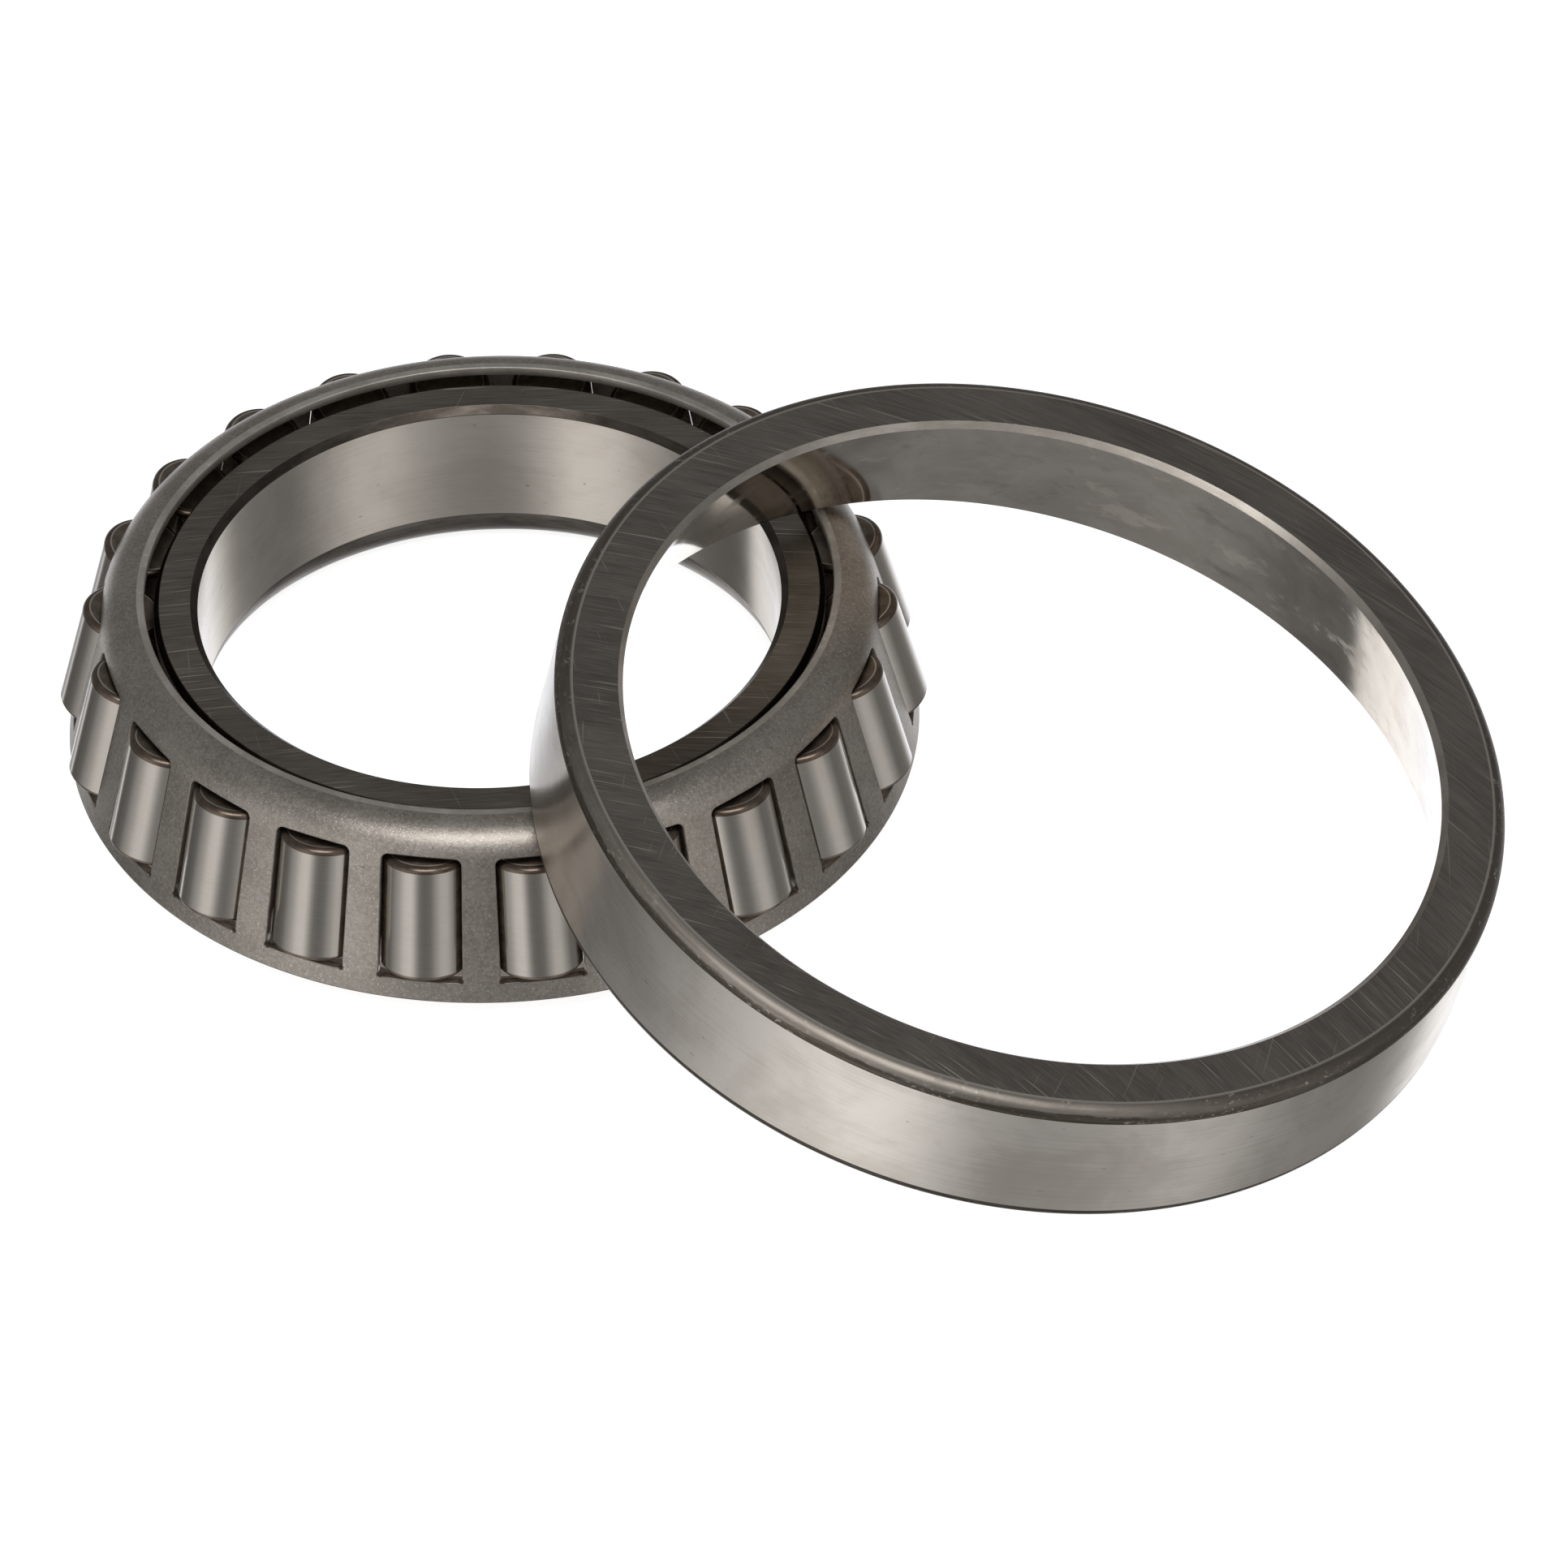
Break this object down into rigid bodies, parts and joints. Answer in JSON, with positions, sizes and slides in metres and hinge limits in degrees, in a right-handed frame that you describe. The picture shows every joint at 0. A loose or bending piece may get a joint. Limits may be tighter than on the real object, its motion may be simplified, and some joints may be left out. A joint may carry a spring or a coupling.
{
  "type": "tapered roller bearing",
  "caption": "Single-row tapered roller bearing taken apart: an inner ring with a pressed window cage of tapered rollers stands upright, and the outer ring leans on it.",
  "frame": {"origin": "on the inner ring's axis, halfway along the ring's width", "axes": "+Z along the inner ring's axis from its back face to its front face, +X from the inner ring towards the leaning cup"},
  "size_m": [0.1771, 0.11, 0.0445],
  "materials": {
    "ring_steel": "ground bearing steel, bright in the bore and dark on the faces",
    "cage_steel": "satin pressed sheet steel with fine speckle",
    "roller_steel": "polished bearing steel",
    "cup_steel": "ground bearing steel, satin outside, polished raceway, dark faces"
  },
  "bodies": {
    "inner_ring": {"inner_ring": "ring_steel"},
    "cage": {"cage": "cage_steel"},
    "roller_01": {"roller_01": "roller_steel"},
    "roller_02": {"roller_02": "roller_steel"},
    "roller_03": {"roller_03": "roller_steel"},
    "roller_04": {"roller_04": "roller_steel"},
    "roller_05": {"roller_05": "roller_steel"},
    "roller_06": {"roller_06": "roller_steel"},
    "roller_07": {"roller_07": "roller_steel"},
    "roller_08": {"roller_08": "roller_steel"},
    "roller_09": {"roller_09": "roller_steel"},
    "roller_10": {"roller_10": "roller_steel"},
    "roller_11": {"roller_11": "roller_steel"},
    "roller_12": {"roller_12": "roller_steel"},
    "roller_13": {"roller_13": "roller_steel"},
    "roller_14": {"roller_14": "roller_steel"},
    "roller_15": {"roller_15": "roller_steel"},
    "roller_16": {"roller_16": "roller_steel"},
    "roller_17": {"roller_17": "roller_steel"},
    "roller_18": {"roller_18": "roller_steel"},
    "roller_19": {"roller_19": "roller_steel"},
    "roller_20": {"roller_20": "roller_steel"},
    "roller_21": {"roller_21": "roller_steel"},
    "roller_22": {"roller_22": "roller_steel"},
    "cup": {"cup": "cup_steel"}
  },
  "joints": [
    {"name": "cage_spin", "type": "hinge", "parent": "inner_ring", "child": "cage", "pos_m": [0, 0, 0], "axis": [0, 0, 1], "continuous": true},
    {"name": "roller_01_spin", "type": "hinge", "parent": "cage", "child": "roller_01", "pos_m": [0.04451, -0.00194, 0.00135], "axis": [-0.2322, 0.0101, 0.9726], "continuous": true},
    {"name": "roller_02_spin", "type": "hinge", "parent": "cage", "child": "roller_02", "pos_m": [0.04325, 0.01067, 0.00135], "axis": [-0.2257, -0.0557, 0.9726], "continuous": true},
    {"name": "roller_03_spin", "type": "hinge", "parent": "cage", "child": "roller_03", "pos_m": [0.03849, 0.02243, 0.00135], "axis": [-0.2008, -0.117, 0.9726], "continuous": true},
    {"name": "roller_04_spin", "type": "hinge", "parent": "cage", "child": "roller_04", "pos_m": [0.03061, 0.03236, 0.00135], "axis": [-0.1597, -0.1689, 0.9726], "continuous": true},
    {"name": "roller_05_spin", "type": "hinge", "parent": "cage", "child": "roller_05", "pos_m": [0.02026, 0.03968, 0.00135], "axis": [-0.1057, -0.207, 0.9726], "continuous": true},
    {"name": "roller_06_spin", "type": "hinge", "parent": "cage", "child": "roller_06", "pos_m": [0.00826, 0.04378, 0.00135], "axis": [-0.0431, -0.2284, 0.9726], "continuous": true},
    {"name": "roller_07_spin", "type": "hinge", "parent": "cage", "child": "roller_07", "pos_m": [-0.00441, 0.04433, 0.00135], "axis": [0.023, -0.2313, 0.9726], "continuous": true},
    {"name": "roller_08_spin", "type": "hinge", "parent": "cage", "child": "roller_08", "pos_m": [-0.01672, 0.04129, 0.00135], "axis": [0.0872, -0.2154, 0.9726], "continuous": true},
    {"name": "roller_09_spin", "type": "hinge", "parent": "cage", "child": "roller_09", "pos_m": [-0.02768, 0.03491, 0.00135], "axis": [0.1444, -0.1821, 0.9726], "continuous": true},
    {"name": "roller_10_spin", "type": "hinge", "parent": "cage", "child": "roller_10", "pos_m": [-0.03639, 0.0257, 0.00135], "axis": [0.1899, -0.1341, 0.9726], "continuous": true},
    {"name": "roller_11_spin", "type": "hinge", "parent": "cage", "child": "roller_11", "pos_m": [-0.04216, 0.0144, 0.00135], "axis": [0.2199, -0.0751, 0.9726], "continuous": true},
    {"name": "roller_12_spin", "type": "hinge", "parent": "cage", "child": "roller_12", "pos_m": [-0.04451, 0.00194, 0.00135], "axis": [0.2322, -0.0101, 0.9726], "continuous": true},
    {"name": "roller_13_spin", "type": "hinge", "parent": "cage", "child": "roller_13", "pos_m": [-0.04325, -0.01067, 0.00135], "axis": [0.2257, 0.0557, 0.9726], "continuous": true},
    {"name": "roller_14_spin", "type": "hinge", "parent": "cage", "child": "roller_14", "pos_m": [-0.03849, -0.02243, 0.00135], "axis": [0.2008, 0.117, 0.9726], "continuous": true},
    {"name": "roller_15_spin", "type": "hinge", "parent": "cage", "child": "roller_15", "pos_m": [-0.03061, -0.03236, 0.00135], "axis": [0.1597, 0.1689, 0.9726], "continuous": true},
    {"name": "roller_16_spin", "type": "hinge", "parent": "cage", "child": "roller_16", "pos_m": [-0.02026, -0.03968, 0.00135], "axis": [0.1057, 0.207, 0.9726], "continuous": true},
    {"name": "roller_17_spin", "type": "hinge", "parent": "cage", "child": "roller_17", "pos_m": [-0.00826, -0.04378, 0.00135], "axis": [0.0431, 0.2284, 0.9726], "continuous": true},
    {"name": "roller_18_spin", "type": "hinge", "parent": "cage", "child": "roller_18", "pos_m": [0.00441, -0.04433, 0.00135], "axis": [-0.023, 0.2313, 0.9726], "continuous": true},
    {"name": "roller_19_spin", "type": "hinge", "parent": "cage", "child": "roller_19", "pos_m": [0.01672, -0.04129, 0.00135], "axis": [-0.0872, 0.2154, 0.9726], "continuous": true},
    {"name": "roller_20_spin", "type": "hinge", "parent": "cage", "child": "roller_20", "pos_m": [0.02768, -0.03491, 0.00135], "axis": [-0.1444, 0.1821, 0.9726], "continuous": true},
    {"name": "roller_21_spin", "type": "hinge", "parent": "cage", "child": "roller_21", "pos_m": [0.03639, -0.0257, 0.00135], "axis": [-0.1899, 0.1341, 0.9726], "continuous": true},
    {"name": "roller_22_spin", "type": "hinge", "parent": "cage", "child": "roller_22", "pos_m": [0.04216, -0.0144, 0.00135], "axis": [-0.2199, 0.0751, 0.9726], "continuous": true},
    {"name": "cup_spin", "type": "hinge", "parent": "inner_ring", "child": "cup", "pos_m": [0.07077, 0, 0.01123], "axis": [0.2453, 0, 0.9694], "continuous": true}
  ],
  "couplings": [
    {"joint": "roller_01_spin", "follows": "cage_spin", "ratio": 7.963},
    {"joint": "roller_02_spin", "follows": "cage_spin", "ratio": 7.963},
    {"joint": "roller_03_spin", "follows": "cage_spin", "ratio": 7.963},
    {"joint": "roller_04_spin", "follows": "cage_spin", "ratio": 7.963},
    {"joint": "roller_05_spin", "follows": "cage_spin", "ratio": 7.963},
    {"joint": "roller_06_spin", "follows": "cage_spin", "ratio": 7.963},
    {"joint": "roller_07_spin", "follows": "cage_spin", "ratio": 7.963},
    {"joint": "roller_08_spin", "follows": "cage_spin", "ratio": 7.963},
    {"joint": "roller_09_spin", "follows": "cage_spin", "ratio": 7.963},
    {"joint": "roller_10_spin", "follows": "cage_spin", "ratio": 7.963},
    {"joint": "roller_11_spin", "follows": "cage_spin", "ratio": 7.963},
    {"joint": "roller_12_spin", "follows": "cage_spin", "ratio": 7.963},
    {"joint": "roller_13_spin", "follows": "cage_spin", "ratio": 7.963},
    {"joint": "roller_14_spin", "follows": "cage_spin", "ratio": 7.963},
    {"joint": "roller_15_spin", "follows": "cage_spin", "ratio": 7.963},
    {"joint": "roller_16_spin", "follows": "cage_spin", "ratio": 7.963},
    {"joint": "roller_17_spin", "follows": "cage_spin", "ratio": 7.963},
    {"joint": "roller_18_spin", "follows": "cage_spin", "ratio": 7.963},
    {"joint": "roller_19_spin", "follows": "cage_spin", "ratio": 7.963},
    {"joint": "roller_20_spin", "follows": "cage_spin", "ratio": 7.963},
    {"joint": "roller_21_spin", "follows": "cage_spin", "ratio": 7.963},
    {"joint": "roller_22_spin", "follows": "cage_spin", "ratio": 7.963}
  ]
}
